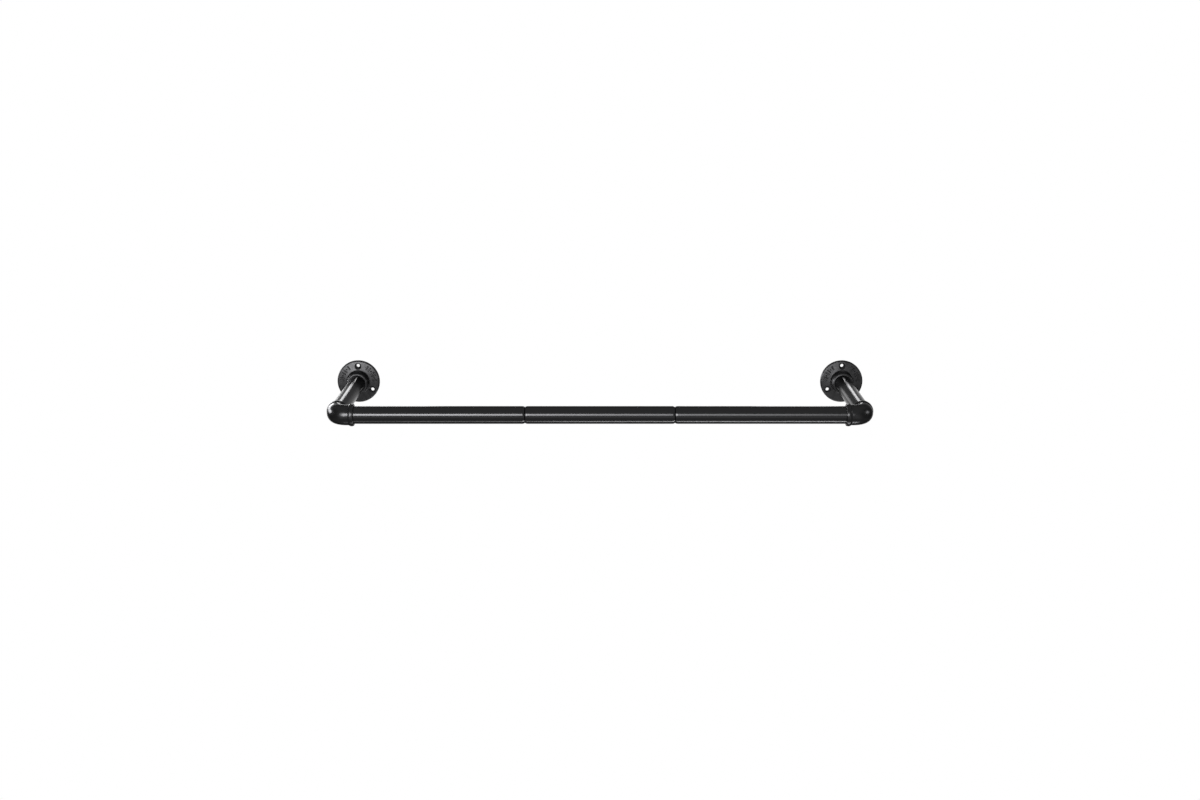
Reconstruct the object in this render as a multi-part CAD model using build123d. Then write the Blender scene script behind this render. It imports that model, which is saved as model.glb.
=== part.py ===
from build123d import *
import os

# A wall rack of screwed pipe: two wall flanges, two arms, two elbows and a bar in three sections.
# Sizes are in millimetres. The wall is the plane Y = 0 and the rack stands out from it towards -Y.
# The bar runs along X, and the origin lies on the wall, midway between the two flanges.

# Layout
arm_spacing = 800.0  # between the axes of the two arms
bar_standoff = 260.0  # from the wall to the axis of the bar
middle_section_length = 227.0

# Pipe, the same for the arms and the bar
pipe_diameter = 26.9
pipe_wall = 2.3
pipe_rim_chamfer = 1.5  # on the rims that meet at the two joints in the bar

# Screwed pipe ends: a thread is kept as a plain length turned down to the thread's mean diameter
thread_depth = 0.8
thread_length = 12.0
thread_tip_chamfer = 0.7
thread_clearance = 0.05  # all round, between the pipe end and its fitting

# The mouth of every fitting takes the full pipe for a short way, down to a shoulder
mouth_depth = 1.5
mouth_clearance = 0.2

# Elbow
elbow_wall = 2.9  # round the thread
elbow_inner_corner = 2.0  # radius on the inside of the bend
elbow_socket_spare = 1.85  # from the tip of one pipe to the side of the other
elbow_band_width = 8.0  # from its foot on the leg to the mouth
elbow_band_rise = 1.7
elbow_band_slope = 2.6  # length of the slope from the leg up to the band
elbow_band_blend = 2.0  # radius at both ends of the slope
elbow_band_round = 1.6  # radius at the mouth

# Wall flange
flange_height = 24.0  # from the wall to the mouth of the hub
flange_rim_thickness = 4.5
flange_cone_rise = 2.5  # of the plate's face, from the rim to the hub
flange_land = 16.8  # width of the plate outside the hub
flange_rim_round = 3.0
flange_back_chamfer = 0.5
hub_wall = 4.3  # round the thread, at the mouth
hub_draft = 1.2  # by which the hub is thicker at its foot
hub_root_round = 2.5
hub_lip_round = 2.8
screw_count = 3
screw_hole_diameter = 5.5
screw_head_diameter = 11.0

# Joints in the bar: a tapped insert in each outer section and a stud in each end of the middle one
joint_plug_length = 20.0
joint_plug_clearance = 0.05
joint_chamfer = 0.8  # on every edge of the inserts and studs
joint_recess = 0.6  # of both plugs behind the rims that meet
spigot_diameter = 12.7
spigot_length = 17.0
spigot_clearance = 0.05

# Sizes that follow
pipe_radius = pipe_diameter / 2
bore_radius = pipe_radius - pipe_wall
thread_radius = pipe_radius - thread_depth
socket_radius = thread_radius + thread_clearance
mouth_radius = pipe_radius + mouth_clearance
screwed_depth = mouth_depth + thread_length
elbow_radius = socket_radius + elbow_wall
elbow_bend_radius = elbow_radius + elbow_inner_corner
elbow_tip_distance = socket_radius + elbow_socket_spare
elbow_reach = elbow_tip_distance + screwed_depth
hub_mouth_radius = socket_radius + hub_wall
hub_foot_radius = hub_mouth_radius + hub_draft
flange_radius = hub_foot_radius + flange_land
flange_root_thickness = flange_rim_thickness + flange_cone_rise
screw_circle_radius = (hub_foot_radius + flange_radius) / 2
plug_radius = bore_radius - joint_plug_clearance
spigot_radius = spigot_diameter / 2


def turned(points, rounds=None):
    """A solid turned about Z from an outline of (radius, height) points, with a rounding for each."""
    if rounds is None:
        outline = Polyline(*points, close=True)
    else:
        outline = FilletPolyline(*points, radius=rounds, close=True)
    return revolve(Plane.XZ * make_face(outline), Axis.Z)


def screwed_end(tip, inward):
    """Outline of a threaded pipe end, from the bore outwards; inward is +1 or -1 along the pipe."""
    shoulder = tip + inward * thread_length
    return [
        (bore_radius, tip),
        (thread_radius - thread_tip_chamfer, tip),
        (thread_radius, tip + inward * thread_tip_chamfer),
        (thread_radius, shoulder),
        (pipe_radius, shoulder),
    ]


def butt_end(tip, inward):
    """Outline of a plain pipe end with a chamfered rim, from the bore outwards."""
    return [
        (bore_radius, tip),
        (pipe_radius - pipe_rim_chamfer, tip),
        (pipe_radius, tip + inward * pipe_rim_chamfer),
    ]


def pipe(low_end, high_end):
    """A length of pipe along Z between two end outlines."""
    return turned(low_end + high_end[::-1])


def screw_hole():
    """Cutter for one countersunk screw hole along Z, with Z = 0 on the wall."""
    slope = flange_cone_rise / flange_land
    face_height = flange_rim_thickness + slope * (flange_radius - screw_circle_radius)
    hole_radius = screw_hole_diameter / 2
    head_radius = screw_head_diameter / 2
    sink_bottom = face_height - (head_radius - hole_radius)
    sink_top = flange_root_thickness + head_radius * slope
    top_radius = hole_radius + sink_top - sink_bottom
    points = [
        (0, 0),
        (hole_radius, 0),
        (hole_radius, sink_bottom),
        (top_radius, sink_top),
        (0, sink_top),
    ]
    return turned(points)


def flange():
    """Cast wall flange about Z, with its back on Z = 0, a coned plate and a drafted hub."""
    shoulder = flange_height - mouth_depth
    points = [
        (socket_radius, 0),
        (flange_radius - flange_back_chamfer, 0),
        (flange_radius, flange_back_chamfer),
        (flange_radius, flange_rim_thickness),
        (hub_foot_radius, flange_root_thickness),
        (hub_mouth_radius, flange_height),
        (mouth_radius, flange_height),
        (mouth_radius, shoulder),
        (socket_radius, shoulder),
    ]
    rounds = [0, 0, 0, flange_rim_round, hub_root_round, hub_lip_round, 0, 0, 0]
    holes = PolarLocations(screw_circle_radius, screw_count, start_angle=90) * screw_hole()
    return turned(points, rounds) - holes


def elbow_leg():
    """Outside of one elbow leg along Z, from the end of the bend to the banded mouth."""
    band_foot = elbow_reach - elbow_band_width
    band_radius = elbow_radius + elbow_band_rise
    points = [
        (0, elbow_bend_radius),
        (elbow_radius, elbow_bend_radius),
        (elbow_radius, band_foot),
        (band_radius, band_foot + elbow_band_slope),
        (band_radius, elbow_reach),
        (0, elbow_reach),
    ]
    return turned(points, [0, 0, elbow_band_blend, elbow_band_blend, elbow_band_round, 0])


def elbow_socket():
    """Cutter for the way into one elbow leg along Z: mouth, threaded socket and passage."""
    shoulder = elbow_reach - mouth_depth
    points = [
        (0, elbow_tip_distance),
        (socket_radius, elbow_tip_distance),
        (socket_radius, shoulder),
        (mouth_radius, shoulder),
        (mouth_radius, elbow_reach),
        (0, elbow_reach),
    ]
    leg_middle = (elbow_bend_radius + elbow_reach) / 2
    passage = Cylinder(bore_radius, elbow_reach - elbow_bend_radius)
    return turned(points) + Pos(0, 0, leg_middle) * passage


def elbow_bend(radius):
    """Quarter turn of a round bar between the ends of the two legs, which lie along +X and +Y."""
    section = Plane(origin=(elbow_bend_radius, 0, 0), z_dir=(-1, 0, 0)) * Circle(radius)
    turn_axis = Axis((elbow_bend_radius, elbow_bend_radius, 0), (0, 0, 1))
    return revolve(section, turn_axis, -90)


def elbow():
    """Cast elbow with its axes crossing at the origin and its mouths towards +X and +Y."""
    along_x = Plane(origin=(0, 0, 0), x_dir=(0, 0, 1), z_dir=(1, 0, 0))
    along_y = Plane(origin=(0, 0, 0), x_dir=(0, 0, 1), z_dir=(0, 1, 0))
    outside = elbow_bend(elbow_radius) + along_x * elbow_leg() + along_y * elbow_leg()
    inside = elbow_bend(bore_radius) + along_x * elbow_socket() + along_y * elbow_socket()
    return outside - inside


def joint_insert():
    """Tapped plug of an outer section, with Z = 0 at the meeting rims and +Z into that section."""
    hole_radius = spigot_radius + spigot_clearance
    far = joint_recess + joint_plug_length
    points = [
        (hole_radius, joint_recess + joint_chamfer),
        (hole_radius + joint_chamfer, joint_recess),
        (plug_radius - joint_chamfer, joint_recess),
        (plug_radius, joint_recess + joint_chamfer),
        (plug_radius, far - joint_chamfer),
        (plug_radius - joint_chamfer, far),
        (hole_radius, far),
    ]
    return turned(points)


def joint_stud():
    """Plug of the middle section with its threaded spigot, with Z = 0 at the meeting rims."""
    face = -joint_recess
    far = face - joint_plug_length
    tip = face + spigot_length
    points = [
        (0, far),
        (plug_radius - joint_chamfer, far),
        (plug_radius, far + joint_chamfer),
        (plug_radius, face - joint_chamfer),
        (plug_radius - joint_chamfer, face),
        (spigot_radius, face),
        (spigot_radius, tip - joint_chamfer),
        (spigot_radius - joint_chamfer, tip),
        (0, tip),
    ]
    return turned(points)


def rack():
    """Every piece of the rack in its place, by name."""
    half_spacing = arm_spacing / 2
    half_middle = middle_section_length / 2
    middle_bar = pipe(butt_end(-half_middle, 1), butt_end(half_middle, -1))
    bar_axis = Plane(origin=(0, -bar_standoff, 0), x_dir=(0, 0, 1), z_dir=(1, 0, 0))
    pieces = {"bar_middle": bar_axis * middle_bar}
    outer_length = half_spacing - half_middle - elbow_tip_distance
    arm_ends = (
        screwed_end(flange_height - screwed_depth, 1),
        screwed_end(bar_standoff - elbow_tip_distance, -1),
    )
    for side, name, elbow_turn in ((-1, "left", 0), (1, "right", 90)):
        wall = Plane(origin=(side * half_spacing, 0, 0), x_dir=(1, 0, 0), z_dir=(0, -1, 0))
        joint = Plane(origin=(side * half_middle, -bar_standoff, 0), x_dir=(0, 0, 1), z_dir=(side, 0, 0))
        corner = Pos(side * half_spacing, -bar_standoff, 0) * Rot(0, 0, elbow_turn)
        pieces["flange_" + name] = wall * flange()
        pieces["arm_pipe_" + name] = wall * pipe(*arm_ends)
        pieces["elbow_" + name] = corner * elbow()
        pieces["bar_" + name] = joint * pipe(butt_end(0, 1), screwed_end(outer_length, -1))
        pieces["joint_insert_" + name] = joint * joint_insert()
        pieces["joint_stud_" + name] = joint * joint_stud()
    return pieces


os.makedirs("parts", exist_ok=True)
for node, solid in rack().items():
    export_step(solid, f"parts/{node}.step")
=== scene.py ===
import math
import bmesh
import bpy
from mathutils import Matrix, Vector


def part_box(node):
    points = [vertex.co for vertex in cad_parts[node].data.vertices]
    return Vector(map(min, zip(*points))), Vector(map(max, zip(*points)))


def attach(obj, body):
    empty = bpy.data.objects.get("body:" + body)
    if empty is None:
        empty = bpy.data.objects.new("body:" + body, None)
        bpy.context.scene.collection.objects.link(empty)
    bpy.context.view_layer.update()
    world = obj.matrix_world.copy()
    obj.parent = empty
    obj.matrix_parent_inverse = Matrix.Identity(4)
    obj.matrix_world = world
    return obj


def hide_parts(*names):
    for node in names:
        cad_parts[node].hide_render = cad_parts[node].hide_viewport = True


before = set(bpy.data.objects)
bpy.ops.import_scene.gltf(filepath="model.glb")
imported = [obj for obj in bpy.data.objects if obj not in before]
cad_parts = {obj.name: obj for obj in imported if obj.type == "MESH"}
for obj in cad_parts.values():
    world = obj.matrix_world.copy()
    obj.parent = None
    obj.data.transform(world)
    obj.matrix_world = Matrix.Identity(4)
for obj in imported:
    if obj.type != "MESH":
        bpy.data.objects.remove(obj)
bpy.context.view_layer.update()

# A wall rack of black screwed pipe. All sizes are in metres, in the frame of the solids:
# the wall is the plane Y = 0, the rack stands out towards -Y, the bar runs along X and Z is up.

# Pipe
PIPE_WALL = 0.0023
RIM_ROLL_LENGTH = 0.003  # of the gentle roll at the rims that meet at the joints in the bar
RIM_ROLL_DEPTH = 0.0007
RIM_ROLL_ROUND = 0.0065
RIM_EDGE_LENGTH = 0.0008  # of the steep edge below the roll
RIM_EDGE_DEPTH = 0.0015
RIM_EDGE_ROUND = 0.0006
THREAD_DEPTH = 0.0008
THREAD_LENGTH = 0.012
THREAD_PITCH = 0.0018
THREAD_RIDGE = 0.0007  # of the ridges left in a flange's bore behind the arm's tip
THREAD_TIP_CHAMFER = 0.0007

# Mouths of the fittings
MOUTH_DEPTH = 0.0015
MOUTH_CLEARANCE = 0.0002
MOUTH_EDGE_ROUND = 0.0003
SOCKET_CLEARANCE = 0.00005

# Elbow
ELBOW_WALL = 0.0029
ELBOW_INNER_CORNER = 0.002
ELBOW_BAND_WIDTH = 0.008
ELBOW_BAND_BLEND = 0.0015  # radius at the foot of the band
ELBOW_STEP_LENGTH = 0.0017  # of the step from the foot up to the crown
ELBOW_STEP_RISE = 0.0011
ELBOW_STEP_ROUND = 0.002
ELBOW_CROWN_PLACE = 0.0036  # of the crown's top, from the foot
ELBOW_CROWN_SPARE = 0.0002  # by which the rounding takes the crown down
ELBOW_CROWN_DROP = 0.0008  # from the top to the mouth
ELBOW_CROWN_ROUND = 0.007
ELBOW_MOUTH_ROUND = 0.0012

# Wall flange
FLANGE_RIM_THICKNESS = 0.0045
FLANGE_ROOT_THICKNESS = 0.007
FLANGE_RIM_ROUND = 0.003
FLANGE_BACK_CHAMFER = 0.0005
HUB_MOUTH_RADIUS = 0.017
HUB_FOOT_RADIUS = 0.0182
HUB_ROOT_ROUND = 0.0025
HUB_LIP_ROUND = 0.0028
SCREW_HOLE_RADIUS = 0.00275
SCREW_HEAD_RADIUS = 0.0055
SCREW_CIRCLE_RADIUS = 0.0266
SCREW_ANGLES = (90, 210, 330)

# Raised marks cast on the flange faces, plain bars and dots in a row between two holes
MARK_HEIGHT = 0.0015
MARK_SINK = 0.00004  # by which the flanks run out below the face
MARK_BASE = 0.0005  # from the face down to the closed underside
MARK_HALF_WIDTH = 0.0014
MARK_TIP_SHARE = 0.04  # of the half width, taken by the small flat on top
MARK_BAR_LENGTH = 0.0052
MARK_CIRCLE_RADIUS = 0.0272
MARK_ROWS = (150, 30)  # angles of the middle of each row
MARK_STEPS = ((-26, 1), (-17, 0), (-9, 1), (0, 1), (9, 0), (17, 1), (26, 1))  # 1 is a bar, 0 a dot

# How finely round forms are divided
SEGMENTS = 160
ARC_STEPS = 7
RINGS_PER_RADIUS = 12  # along an elbow, in one radius of the pipe
MARK_SEGMENTS = 28
MARK_RINGS = 9
SHARP_ANGLE = math.radians(32)

# Metals
CLOUD_SIZE = 9  # of the patches of tone, in grains
BLACK_TINT = (1, 1, 1.03)
BLACK_NOISE = (0.3, 0.7)  # values of the noise that get the two ends of the tone and the gloss
STEEL_RINGS = (4000, 40, 40)  # per metre, along the bar and across it
STEEL_TONES = (0.48, 0.62)
STEEL_TINT = (1, 1.01, 1.03)
STEEL_NOISE = (0.0, 1.0)
STEEL_ROUGHNESS = (0.28, 0.42)
STEEL_RING_HEIGHT = 0.00002

# Floor
FLOOR_HEIGHT = -2.0
FLOOR_REACH = 2.8
FLOOR_GLOW = 0.18  # of the floor where it is seen, beside the light that falls on it
FLOOR_SHADE = 0.15
FLOOR_MATTE = 0.8
FLOOR_TONE = 0.32  # of the world beyond the floor, about that of the floor itself

# Backdrop: levels, where 1 is white, and the directions between which each changes into the next
BACK_WHITE = 1.0  # behind the rack, as the camera sees it
BACK_PALE = 0.75  # above that
BACK_DARK = 0.36  # higher still
FRONT_LOW = 0.55
FRONT_HIGH = 0.4
SIDE_LEVEL = 0.2
FILL_LEVEL = 0.35  # of the even light that falls on things
PALE_ELEVATIONS = (2, 6)  # in degrees
DARK_ELEVATIONS = (16, 26)
FRONT_ELEVATIONS = (0, 15)
FLOOR_ELEVATIONS = (-32, -26)
BACK_SHARES = (0.45, 0.75)  # of a direction along Y, from the front to the back
SIDE_SHARES = (0.55, 0.85)  # of a direction along X, from the middle to the sides

# Lamps in rows, from left to right; a place is that of the row's first lamp
FRONT_STRIP_BRIGHTNESS = (10.5, 11, 7.8, 5, 3.6, 2.65)
FRONT_STRIP_START = -1.0  # left edge of the row
FRONT_STRIP_Y = -2.95
FRONT_STRIP_Z = 0.68
FRONT_STRIP_SIZE = (0.3, 0.9)
LOW_STRIP_BRIGHTNESS = (1.7, 3.4, 8.5, 11.5, 11.5)
LOW_STRIP_START = -0.7
LOW_STRIP_Y = -0.39
LOW_STRIP_Z = -1.0
LOW_STRIP_SIZE = (0.3, 0.14)
KEY_BRIGHTNESS = (3.5, 7.5, 14)
KEY_PLACE = (-1.472, -1.817, 0.45)
KEY_STEP = (0.252, -0.163)  # in X and Y, to the next panel
KEY_TARGET = (-0.1, -0.1, 0)
KEY_SIZE = (0.3, 0.9)

# Camera
CAMERA_PLACE = (0, -2.828, 0.571)
CAMERA_DIP = 12.043  # degrees below the horizon
CAMERA_LENS = 52.17  # in millimetres, as is the sensor
CAMERA_SENSOR = 36

# Places taken from the solids
bar_low, bar_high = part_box("bar_middle")
pipe_radius = (bar_high.z - bar_low.z) / 2
bar_axis_y = (bar_high.y + bar_low.y) / 2
joint_x = bar_high.x
flange_low, flange_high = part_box("flange_right")
arm_x = (flange_low.x + flange_high.x) / 2
flange_radius = (flange_high.z - flange_low.z) / 2
flange_height = flange_high.y - flange_low.y
elbow_low, elbow_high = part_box("elbow_right")
band_radius = (elbow_high.z - elbow_low.z) / 2
elbow_reach = arm_x - elbow_low.x
arm_low, arm_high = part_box("arm_pipe_right")
arm_tip = -arm_high.y
arm_far = -arm_low.y
outer_low, outer_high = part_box("bar_right")
outer_length = outer_high.x - outer_low.x

# Sizes that follow
bore_radius = pipe_radius - PIPE_WALL
thread_radius = pipe_radius - THREAD_DEPTH
socket_radius = thread_radius + SOCKET_CLEARANCE
mouth_radius = pipe_radius + MOUTH_CLEARANCE
elbow_radius = socket_radius + ELBOW_WALL
bend_radius = elbow_radius + ELBOW_INNER_CORNER


def rounded(corners):
    """Closed outline of (along, radius) points from corners of (along, radius, rounding)."""
    outline = []
    for i, (along, radius, rounding) in enumerate(corners):
        corner = Vector((along, radius))
        if rounding == 0:
            outline.append(corner)
            continue
        before = (Vector(corners[i - 1][:2]) - corner).normalized()
        after = (Vector(corners[(i + 1) % len(corners)][:2]) - corner).normalized()
        half = before.angle(after) / 2
        middle = corner + (before + after).normalized() * rounding / math.sin(half)
        start = corner + before * rounding / math.tan(half) - middle
        end = corner + after * rounding / math.tan(half) - middle
        turn = start.angle(end)
        for step in range(ARC_STEPS + 1):
            share = step / ARC_STEPS
            mixed = start * math.sin((1 - share) * turn) + end * math.sin(share * turn)
            outline.append(middle + mixed / math.sin(turn))
    return outline


def spaced(outline, longest):
    """The same closed outline with its long runs divided."""
    points = []
    for i, point in enumerate(outline):
        following = outline[(i + 1) % len(outline)]
        count = max(1, math.ceil((following - point).length / longest))
        points += [point.lerp(following, step / count) for step in range(count)]
    return points


def straight(origin, direction, turn=0.0):
    """Places points about a straight axis, turned about it."""
    along = Vector(direction).normalized()
    up = Vector((0, 0, 1))
    side = along.cross(up)

    def place(station, radius, angle):
        spoke = side * math.cos(angle + turn) + up * math.sin(angle + turn)
        return Vector(origin) + along * station + spoke * radius

    return place


def bent(corner, first, second):
    """Places points about two legs that leave a corner and are joined by a quarter arc.

    Station 0 is the middle of the arc.
    """
    first = Vector(first)
    second = Vector(second)
    up = Vector((0, 0, 1))
    centre = Vector(corner) + (first + second) * bend_radius
    half_arc = bend_radius * math.pi / 4

    def place(station, radius, angle):
        on_arc = max(-half_arc, min(half_arc, station))
        turn = on_arc / bend_radius + math.pi / 4
        outward = -second * math.cos(turn) - first * math.sin(turn)
        along = second * math.sin(turn) - first * math.cos(turn)
        axis = centre + outward * bend_radius + along * (station - on_arc)
        return axis + (outward * math.cos(angle) + up * math.sin(angle)) * radius

    return place


def turned(outline, place):
    """Vertices and faces of a closed outline carried round an axis."""
    vertices = []
    for station, radius in outline:
        vertices += [place(station, radius, math.tau * k / SEGMENTS) for k in range(SEGMENTS)]
    faces = []
    for ring in range(len(outline)):
        low = ring * SEGMENTS
        high = (ring + 1) % len(outline) * SEGMENTS
        for k in range(SEGMENTS):
            after = (k + 1) % SEGMENTS
            faces.append((low + k, low + after, high + after, high + k))
    return vertices, faces


def mesh_object(name, vertices, faces):
    """A mesh object with its faces turned outwards."""
    mesh = bpy.data.meshes.new(name)
    mesh.from_pydata(vertices, [], faces)
    work = bmesh.new()
    work.from_mesh(mesh)
    bmesh.ops.recalc_face_normals(work, faces=work.faces)
    work.to_mesh(mesh)
    work.free()
    made = bpy.data.objects.new(name, mesh)
    bpy.context.scene.collection.objects.link(made)
    return made


def smooth(piece):
    """Smooth shading with crisp edges kept."""
    piece.data.polygons.foreach_set("use_smooth", [True] * len(piece.data.polygons))
    piece.data.set_sharp_from_angle(angle=SHARP_ANGLE)


def dress(piece, material, slot, *nodes):
    """Gives a piece its material and its body, and hides the solids that it stands for."""
    smooth(piece)
    piece.data.materials.clear()
    piece.data.materials.append(material)
    if nodes:
        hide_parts(*nodes)
    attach(piece, "root")


def screwed_end(tip, inward):
    """Outline corners of a threaded pipe end, from the bore outwards."""
    shoulder = tip + inward * THREAD_LENGTH
    return [
        (tip, bore_radius, 0),
        (tip, thread_radius - THREAD_TIP_CHAMFER, 0),
        (tip + inward * THREAD_TIP_CHAMFER, thread_radius, 0),
        (shoulder, thread_radius, 0),
        (shoulder, pipe_radius, 0),
    ]


def butt_end(tip, inward):
    """Outline corners of a plain pipe end with a rolled rim, from the bore outwards."""
    return [
        (tip, bore_radius, 0),
        (tip, pipe_radius - RIM_EDGE_DEPTH, 0),
        (tip + inward * RIM_EDGE_LENGTH, pipe_radius - RIM_ROLL_DEPTH, RIM_EDGE_ROUND),
        (tip + inward * RIM_ROLL_LENGTH, pipe_radius, RIM_ROLL_ROUND),
    ]


def pipe(name, low_end, high_end, place):
    """A length of pipe between two ends."""
    outline = spaced(rounded(low_end + high_end[::-1]), pipe_radius)
    return mesh_object(name, *turned(outline, place))


def elbow(name, corner, first, second):
    """A banded elbow: the outside and the passage are one outline carried round the bent axis."""
    end = elbow_reach - bend_radius + bend_radius * math.pi / 4
    foot = end - ELBOW_BAND_WIDTH
    shoulder = end - MOUTH_DEPTH
    half = [
        (foot, elbow_radius, ELBOW_BAND_BLEND),
        (foot + ELBOW_STEP_LENGTH, elbow_radius + ELBOW_STEP_RISE, ELBOW_STEP_ROUND),
        (foot + ELBOW_CROWN_PLACE, band_radius + ELBOW_CROWN_SPARE, ELBOW_CROWN_ROUND),
        (end, band_radius - ELBOW_CROWN_DROP, ELBOW_MOUTH_ROUND),
        (end, mouth_radius, MOUTH_EDGE_ROUND),
        (shoulder, mouth_radius, 0),
        (shoulder, socket_radius, 0),
    ]
    corners = half + [(-station, radius, rounding) for station, radius, rounding in half[::-1]]
    outline = spaced(rounded(corners), pipe_radius / RINGS_PER_RADIUS)
    return mesh_object(name, *turned(outline, bent(corner, first, second)))


def flange_face(radius):
    """Height of the coned face above the wall."""
    share = (flange_radius - radius) / (flange_radius - HUB_FOOT_RADIUS)
    return FLANGE_RIM_THICKNESS + share * (FLANGE_ROOT_THICKNESS - FLANGE_RIM_THICKNESS)


def cut(piece, cutter):
    """Takes one mesh out of another."""
    boolean = piece.modifiers.new("cut", "BOOLEAN")
    boolean.operation = "DIFFERENCE"
    boolean.solver = "EXACT"
    boolean.object = cutter
    bpy.context.view_layer.update()
    whole = piece.evaluated_get(bpy.context.evaluated_depsgraph_get())
    result = bpy.data.meshes.new_from_object(whole)
    piece.modifiers.clear()
    piece.data = result
    bpy.data.objects.remove(cutter)


def bore_ridges():
    """Outline corners of the thread ridges in a flange's bore, from the arm's tip to the wall."""
    corners = []
    station = arm_tip - THREAD_PITCH / 2
    while station > THREAD_PITCH:
        corners.append((station, socket_radius, 0))
        corners.append((station - THREAD_PITCH / 2, socket_radius - THREAD_RIDGE, 0))
        station -= THREAD_PITCH
    return corners + [(station, socket_radius, 0)]


def flange(name, x):
    """A cast wall flange: coned plate, drafted hub, and a countersunk hole at each screw angle."""
    place = straight((0, 0, 0), (0, -1, 0))
    shoulder = flange_height - MOUTH_DEPTH
    corners = [
        (0, socket_radius, 0),
        (0, flange_radius - FLANGE_BACK_CHAMFER, 0),
        (FLANGE_BACK_CHAMFER, flange_radius, 0),
        (FLANGE_RIM_THICKNESS, flange_radius, FLANGE_RIM_ROUND),
        (FLANGE_ROOT_THICKNESS, HUB_FOOT_RADIUS, HUB_ROOT_ROUND),
        (flange_height, HUB_MOUTH_RADIUS, HUB_LIP_ROUND),
        (flange_height, mouth_radius, MOUTH_EDGE_ROUND),
        (shoulder, mouth_radius, 0),
        (shoulder, socket_radius, 0),
    ]
    plate = mesh_object(name, *turned(rounded(corners + bore_ridges()), place))
    face = flange_face(SCREW_CIRCLE_RADIUS)
    over = 2 * FLANGE_ROOT_THICKNESS
    sink = [
        (-over, SCREW_HOLE_RADIUS),
        (face - SCREW_HEAD_RADIUS + SCREW_HOLE_RADIUS, SCREW_HOLE_RADIUS),
        (over, SCREW_HEAD_RADIUS + over - face),
    ]
    # The cutters are turned by half a division, so that their corners miss those of the plate
    for degrees in SCREW_ANGLES:
        angle = math.radians(degrees)
        centre = (SCREW_CIRCLE_RADIUS * math.cos(angle), 0, SCREW_CIRCLE_RADIUS * math.sin(angle))
        vertices, faces = turned(sink, straight(centre, (0, -1, 0), math.pi / SEGMENTS))
        walls = faces[:2 * SEGMENTS]
        ends = [tuple(range(SEGMENTS)), tuple(range(2 * SEGMENTS, 3 * SEGMENTS))]
        cut(plate, mesh_object("screw_hole", vertices, walls + ends))
    plate.data.transform(Matrix.Translation((x, 0, 0)))
    return plate


def raised_mark(x, degrees, length):
    """Vertices and faces of one soft mark on a flange face: a bar along the radius or a dot."""
    angle = math.radians(degrees)
    outward = Vector((math.cos(angle), math.sin(angle)))
    across = Vector((-outward.y, outward.x))
    points = []
    for ring in range(MARK_RINGS + 1):
        share = ring / MARK_RINGS
        reach = max(share, MARK_TIP_SHARE) * MARK_HALF_WIDTH
        lift = MARK_HEIGHT * (1 - share ** 3) ** 2 - MARK_SINK
        if ring == MARK_RINGS:
            lift = -MARK_BASE
        for k in range(MARK_SEGMENTS):
            turn = math.tau * k / MARK_SEGMENTS
            half = length / 2 if math.cos(turn) >= 0 else -length / 2
            spot = outward * (MARK_CIRCLE_RADIUS + half + reach * math.cos(turn))
            spot += across * reach * math.sin(turn)
            points.append(Vector((x + spot.x, -flange_face(spot.length) - lift, spot.y)))
    last = MARK_RINGS * MARK_SEGMENTS
    faces = [tuple(range(MARK_SEGMENTS)), tuple(range(last, last + MARK_SEGMENTS))]
    for low in range(0, last, MARK_SEGMENTS):
        high = low + MARK_SEGMENTS
        for k in range(MARK_SEGMENTS):
            after = (k + 1) % MARK_SEGMENTS
            faces.append((low + k, low + after, high + after, high + k))
    return points, faces


def marks(name, x):
    """The raised marks of one flange."""
    vertices = []
    faces = []
    for row in MARK_ROWS:
        for step, is_bar in MARK_STEPS:
            points, sides = raised_mark(x, row + step, MARK_BAR_LENGTH * is_bar)
            faces += [tuple(len(vertices) + corner for corner in side) for side in sides]
            vertices += points
    return mesh_object(name, vertices, faces)


def grey(level):
    """A colour of one level."""
    return (level, level, level, 1)


def add_node(tree, kind, **inputs):
    """A shader node with its inputs set by name, underscores standing for spaces."""
    node = tree.nodes.new(kind)
    for socket, value in inputs.items():
        node.inputs[socket.replace("_", " ")].default_value = value
    return node


def metal(name):
    """A new metal, as its material, node tree and shader."""
    material = bpy.data.materials.new(name)
    material.use_nodes = True
    tree = material.node_tree
    shader = tree.nodes["Principled BSDF"]
    shader.inputs["Metallic"].default_value = 1.0
    return material, tree, shader


def lead_noise(tree, shader, cloud, fine, noise, tones, tint, roughness, height):
    """Leads a cloudy noise into a metal's colour, and a fine one into its gloss and surface.

    The two tones, and the two ends of the roughness, lie at the two values of the noise.
    """
    colour = tree.nodes.new("ShaderNodeValToRGB")
    for stop, value, tone in zip(colour.color_ramp.elements, noise, tones):
        stop.position = value
        stop.color = (tone * tint[0], tone * tint[1], tone * tint[2], 1)
    tree.links.new(cloud.outputs["Fac"], colour.inputs["Fac"])
    tree.links.new(colour.outputs["Color"], shader.inputs["Base Color"])
    gloss = add_node(tree, "ShaderNodeMapRange", From_Min=noise[0], From_Max=noise[1])
    gloss.inputs["To Min"].default_value = roughness[0]
    gloss.inputs["To Max"].default_value = roughness[1]
    tree.links.new(fine.outputs["Fac"], gloss.inputs["Value"])
    tree.links.new(gloss.outputs["Result"], shader.inputs["Roughness"])
    bump = add_node(tree, "ShaderNodeBump", Strength=1.0, Distance=height)
    tree.links.new(fine.outputs["Fac"], bump.inputs["Height"])
    tree.links.new(bump.outputs["Normal"], shader.inputs["Normal"])


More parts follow.
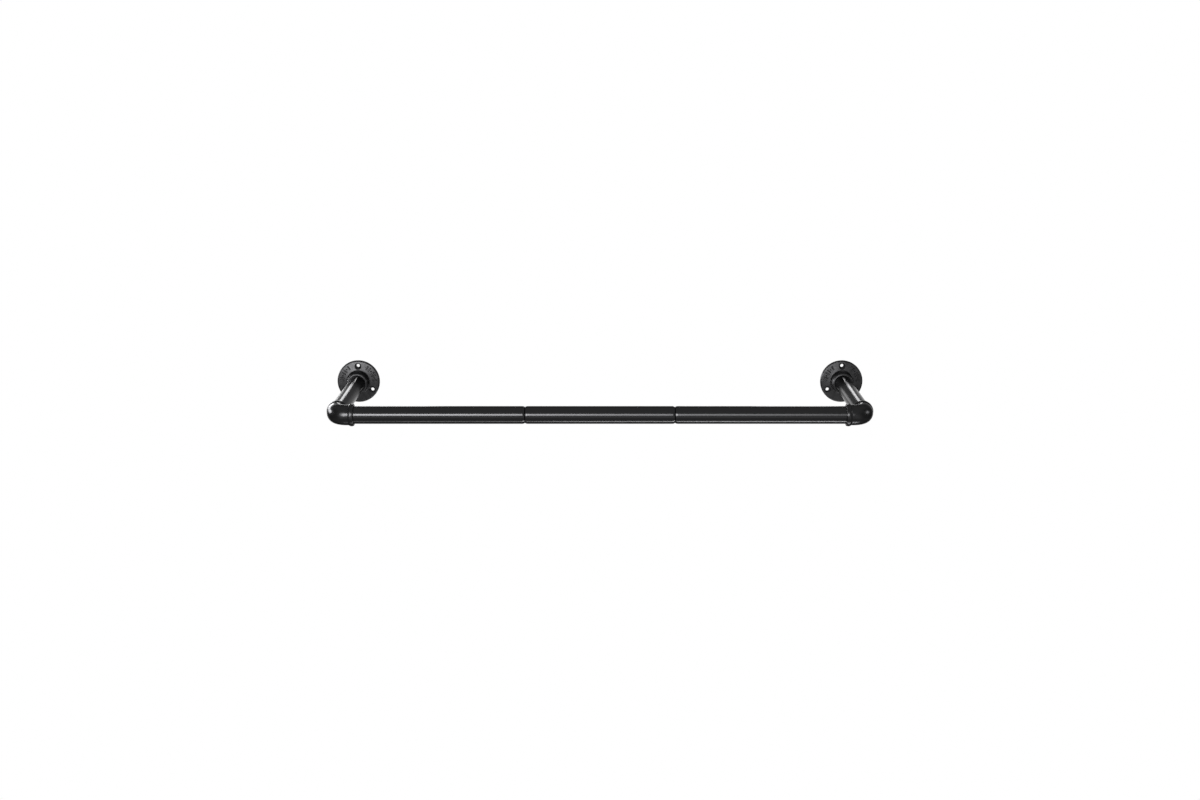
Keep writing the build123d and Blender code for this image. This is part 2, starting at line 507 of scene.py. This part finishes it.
def black_iron(name, tone, tone_spread, edge_tone, roughness, roughness_spread, grain, height):
    """Blackened iron: dark, dull at its edges, cloudy, uneven in gloss and finely grained."""
    material, tree, shader = metal(name)
    shader.inputs["Specular Tint"].default_value = grey(edge_tone)
    places = tree.nodes.new("ShaderNodeTexCoord")
    cloud_scale = grain / CLOUD_SIZE
    cloud = add_node(tree, "ShaderNodeTexNoise", Scale=cloud_scale, Detail=4.0, Roughness=0.6)
    fine = add_node(tree, "ShaderNodeTexNoise", Scale=grain, Detail=5.0, Roughness=0.62)
    for texture in (cloud, fine):
        tree.links.new(places.outputs["Object"], texture.inputs["Vector"])
    tones = (tone - tone_spread, tone + tone_spread)
    gloss = (roughness - roughness_spread, roughness + roughness_spread)
    lead_noise(tree, shader, cloud, fine, BLACK_NOISE, tones, BLACK_TINT, gloss, height)
    return material


def turned_steel():
    """Bare turned steel of the connectors inside the bar, with fine rings about the bar's axis."""
    material, tree, shader = metal("turned_steel")
    places = tree.nodes.new("ShaderNodeTexCoord")
    stretch = add_node(tree, "ShaderNodeMapping", Scale=STEEL_RINGS)
    rings = add_node(tree, "ShaderNodeTexNoise", Scale=1.0, Detail=3.0)
    tree.links.new(places.outputs["Object"], stretch.inputs["Vector"])
    tree.links.new(stretch.outputs["Vector"], rings.inputs["Vector"])
    looks = (STEEL_NOISE, STEEL_TONES, STEEL_TINT, STEEL_ROUGHNESS, STEEL_RING_HEIGHT)
    lead_noise(tree, shader, rings, rings, *looks)
    return material


def seen_share(tree):
    """1 for what the camera sees, directly or in metal or glass, and 0 for the light on things."""
    path = tree.nodes.new("ShaderNodeLightPath")
    share = path.outputs["Is Camera Ray"]
    for ray in ("Is Glossy Ray", "Is Transmission Ray"):
        larger = tree.nodes.new("ShaderNodeMath")
        larger.operation = "MAXIMUM"
        tree.links.new(share, larger.inputs[0])
        tree.links.new(path.outputs[ray], larger.inputs[1])
        share = larger.outputs["Value"]
    return share


def pale_floor():
    """A plain round floor, pale where it is seen, that keeps the light and shadow on it."""
    edge = []
    for k in range(SEGMENTS):
        turn = math.tau * k / SEGMENTS
        x = FLOOR_REACH * math.cos(turn)
        y = bar_axis_y + FLOOR_REACH * math.sin(turn)
        edge.append((x, y, FLOOR_HEIGHT))
    floor = mesh_object("floor", edge, [tuple(range(SEGMENTS))])
    material = bpy.data.materials.new("pale_floor")
    material.use_nodes = True
    tree = material.node_tree
    tree.nodes.remove(tree.nodes["Principled BSDF"])
    matte = add_node(tree, "ShaderNodeBsdfDiffuse", Color=grey(FLOOR_MATTE))
    shaded = add_node(tree, "ShaderNodeBsdfDiffuse", Color=grey(FLOOR_SHADE))
    white = add_node(tree, "ShaderNodeEmission", Color=grey(1), Strength=FLOOR_GLOW)
    both = tree.nodes.new("ShaderNodeAddShader")
    tree.links.new(shaded.outputs["BSDF"], both.inputs[0])
    tree.links.new(white.outputs["Emission"], both.inputs[1])
    mix = tree.nodes.new("ShaderNodeMixShader")
    tree.links.new(seen_share(tree), mix.inputs["Fac"])
    tree.links.new(matte.outputs["BSDF"], mix.inputs[1])
    tree.links.new(both.outputs["Shader"], mix.inputs[2])
    tree.links.new(mix.outputs["Shader"], tree.nodes["Material Output"].inputs["Surface"])
    floor.data.materials.append(material)


def between(tree, value, low, high, first, second):
    """A level that goes smoothly from first to second as a value goes from low to high.

    First and second are numbers or sockets.
    """
    share = add_node(tree, "ShaderNodeMapRange", From_Min=low, From_Max=high)
    share.interpolation_type = "SMOOTHSTEP"
    tree.links.new(value, share.inputs["Value"])
    mix = tree.nodes.new("ShaderNodeMix")
    tree.links.new(share.outputs["Result"], mix.inputs["Factor"])
    for socket, level in (("A", first), ("B", second)):
        if isinstance(level, float):
            mix.inputs[socket].default_value = level
        else:
            tree.links.new(level, mix.inputs[socket])
    return mix.outputs["Result"]


def studio_world():
    """White behind the rack, pale then dark above, grey in front and aside, and an even fill."""
    world = bpy.data.worlds.new("studio")
    bpy.context.scene.world = world
    world.use_nodes = True
    tree = world.node_tree
    places = tree.nodes.new("ShaderNodeTexCoord")
    split = tree.nodes.new("ShaderNodeSeparateXYZ")
    tree.links.new(places.outputs["Generated"], split.inputs["Vector"])
    aside = tree.nodes.new("ShaderNodeMath")
    aside.operation = "ABSOLUTE"
    tree.links.new(split.outputs["X"], aside.inputs[0])

    def rise(elevations, first, second):
        """A level that changes between two elevations."""
        low, high = (math.sin(math.radians(degrees)) for degrees in elevations)
        return between(tree, split.outputs["Z"], low, high, first, second)

    behind = rise(PALE_ELEVATIONS, BACK_WHITE, BACK_PALE)
    back = rise(DARK_ELEVATIONS, behind, BACK_DARK)
    front = rise(FRONT_ELEVATIONS, FRONT_LOW, FRONT_HIGH)
    around = between(tree, split.outputs["Y"], *BACK_SHARES, front, back)
    sides = between(tree, aside.outputs["Value"], *SIDE_SHARES, around, SIDE_LEVEL)
    seen = rise(FLOOR_ELEVATIONS, FLOOR_TONE, sides)
    level = tree.nodes.new("ShaderNodeMix")
    level.inputs["A"].default_value = FILL_LEVEL
    tree.links.new(seen_share(tree), level.inputs["Factor"])
    tree.links.new(seen, level.inputs["B"])
    tree.links.new(level.outputs["Result"], tree.nodes["Background"].inputs["Strength"])
    tree.nodes["Background"].inputs["Color"].default_value = grey(1)


def softbox(name, place, target, size, brightness):
    """A rectangular lamp of even brightness, turned towards a point and unseen by the camera."""
    lamp = bpy.data.lights.new(name, "AREA")
    lamp.shape = "RECTANGLE"
    lamp.size, lamp.size_y = size
    lamp.energy = brightness * math.pi * size[0] * size[1]
    made = bpy.data.objects.new(name, lamp)
    made.location = place
    made.rotation_euler = (Vector(target) - Vector(place)).to_track_quat("-Z", "Y").to_euler()
    made.visible_camera = False
    bpy.context.scene.collection.objects.link(made)


# Materials
pipe_coat = black_iron(
    "pipe_coat", tone=0.050, tone_spread=0.004, edge_tone=0.40,
    roughness=0.18, roughness_spread=0.01, grain=4000, height=0.0000005,
)
elbow_iron = black_iron(
    "elbow_iron", tone=0.046, tone_spread=0.006, edge_tone=0.45,
    roughness=0.25, roughness_spread=0.03, grain=1800, height=0.000005,
)
flange_iron = black_iron(
    "flange_iron", tone=0.051, tone_spread=0.016, edge_tone=0.3,
    roughness=0.41, roughness_spread=0.05, grain=900, height=0.00005,
)
joint_steel = turned_steel()

# The middle section of the bar
bar_centre = (0, bar_axis_y, 0)
middle_ends = (butt_end(bar_low.x, 1), butt_end(bar_high.x, -1))
middle = pipe("bar_middle_pipe", *middle_ends, straight(bar_centre, (1, 0, 0)))
dress(middle, pipe_coat, "pipe_coat", "bar_middle")

# Each side has an outer section of the bar, an arm, an elbow, a flange with its raised marks,
# and the connectors inside the bar, which are the solids themselves
for side, word in ((-1, "left"), (1, "right")):
    outer = pipe(
        f"bar_{word}_pipe",
        butt_end(0, 1),
        screwed_end(outer_length, -1),
        straight((side * joint_x, bar_axis_y, 0), (side, 0, 0)),
    )
    dress(outer, pipe_coat, "pipe_coat", f"bar_{word}")
    arm = pipe(
        f"arm_{word}_pipe",
        screwed_end(arm_tip, 1),
        screwed_end(arm_far, -1),
        straight((side * arm_x, 0, 0), (0, -1, 0)),
    )
    dress(arm, pipe_coat, "pipe_coat", f"arm_pipe_{word}")
    corner = elbow(f"elbow_{word}_casting", (side * arm_x, bar_axis_y, 0), (-side, 0, 0), (0, 1, 0))
    dress(corner, elbow_iron, "elbow_iron", f"elbow_{word}")
    plate = flange(f"flange_{word}_casting", side * arm_x)
    dress(plate, flange_iron, "flange_iron", f"flange_{word}")
    dress(marks(f"flange_{word}_marks", side * arm_x), flange_iron, "flange_iron")
    for inner in (f"joint_insert_{word}", f"joint_stud_{word}"):
        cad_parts[inner].data.materials.clear()
        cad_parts[inner].data.materials.append(joint_steel)

# Floor and world
pale_floor()
studio_world()

# A row of strips in front draws the line along the bar, brighter on the left
for step, brightness in enumerate(FRONT_STRIP_BRIGHTNESS):
    strip_x = FRONT_STRIP_START + (step + 0.5) * FRONT_STRIP_SIZE[0]
    strip_place = (strip_x, FRONT_STRIP_Y, FRONT_STRIP_Z)
    softbox(f"front_strip_{step}", strip_place, bar_centre, FRONT_STRIP_SIZE, brightness)

# A row under the bar draws the thin line below, brighter on the right
for step, brightness in enumerate(LOW_STRIP_BRIGHTNESS):
    strip_x = LOW_STRIP_START + (step + 0.5) * LOW_STRIP_SIZE[0]
    strip_place = (strip_x, LOW_STRIP_Y, LOW_STRIP_Z)
    softbox(f"low_strip_{step}", strip_place, (strip_x, bar_axis_y, 0), LOW_STRIP_SIZE, brightness)

# A key in three panels on the front left lights the flanges and draws the dash on the left elbow
for step, brightness in enumerate(KEY_BRIGHTNESS):
    key_place = (KEY_PLACE[0] + step * KEY_STEP[0], KEY_PLACE[1] + step * KEY_STEP[1], KEY_PLACE[2])
    softbox(f"key_{step}", key_place, KEY_TARGET, KEY_SIZE, brightness)

# Lamps behind and beside the rack draw the crescent on the left elbow, the spot on the right one,
# the streak along each arm and the soft light on the inner side of the right arm
left_elbow = (-arm_x, bar_axis_y, 0)
right_elbow = (arm_x, bar_axis_y, 0)
left_arm = (-arm_x, bar_axis_y / 2, 0)
right_arm = (arm_x, bar_axis_y / 2, 0)
softbox("left_back", (-1.50, 0.78, 0.28), left_elbow, size=(1.75, 0.4), brightness=25)
softbox("right_side", (2.0, -0.20, 0.45), right_elbow, size=(0.5, 0.5), brightness=4)
softbox("left_arm_strip", (-0.50, 1.24, 0.42), left_arm, size=(0.2, 0.4), brightness=12.5)
softbox("right_arm_strip", (0.475, 1.24, 0.44), right_arm, size=(0.2, 0.4), brightness=12.5)
softbox("right_arm_side", (0.225, 0.55, -0.015), right_arm, size=(0.12, 0.1), brightness=2.5)

# Camera
camera = bpy.data.objects.new("camera", bpy.data.cameras.new("camera"))
camera.location = CAMERA_PLACE
camera.rotation_euler = (math.radians(90 - CAMERA_DIP), 0, 0)
camera.data.lens = CAMERA_LENS
camera.data.sensor_width = CAMERA_SENSOR
bpy.context.scene.collection.objects.link(camera)
bpy.context.scene.camera = camera
bpy.context.scene.view_settings.view_transform = "Standard"
